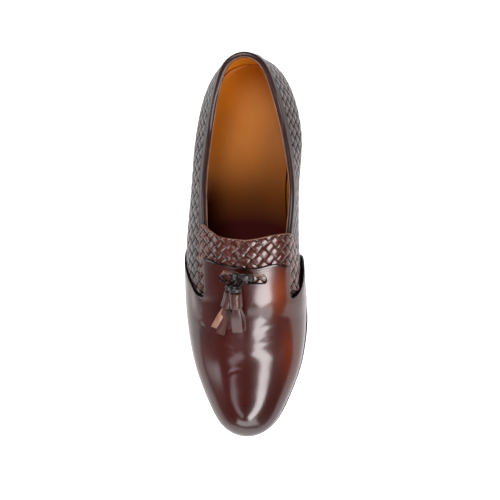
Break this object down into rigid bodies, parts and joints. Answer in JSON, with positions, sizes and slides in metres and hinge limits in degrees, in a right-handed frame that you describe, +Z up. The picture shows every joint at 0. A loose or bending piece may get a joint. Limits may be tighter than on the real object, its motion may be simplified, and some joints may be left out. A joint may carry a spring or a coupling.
{
  "type": "tassel loafer",
  "caption": "Right-foot leather slip-on shoe with a smooth vamp and tab, plaited quarters and instep, a stacked heel and a flat lace with tassels.",
  "frame": {"origin": "middle of the shoe's box, on the floor it stands on", "axes": "+Z up, +Y from toe to heel, +X to the big-toe side"},
  "size_m": [0.096, 0.2974, 0.0892],
  "materials": {
    "polished_calf": "polished",
    "plaited_calf": "semi-gloss",
    "binding_calf": "satin",
    "sole_leather": "satin",
    "heel_rubber": "matte",
    "lining_leather": "satin",
    "tassel_leather": "semi-gloss"
  },
  "bodies": {
    "root": {"upper": "plaited_calf", "vamp": "polished_calf", "tongue": "plaited_calf", "outsole": "sole_leather", "insole": "lining_leather", "heel": "sole_leather", "heel_top_piece": "heel_rubber", "collar_binding": "binding_calf", "back_strap": "binding_calf", "tie_strap": "tassel_leather", "tassel_a": "tassel_leather", "tassel_b": "tassel_leather"}
  },
  "joints": []
}
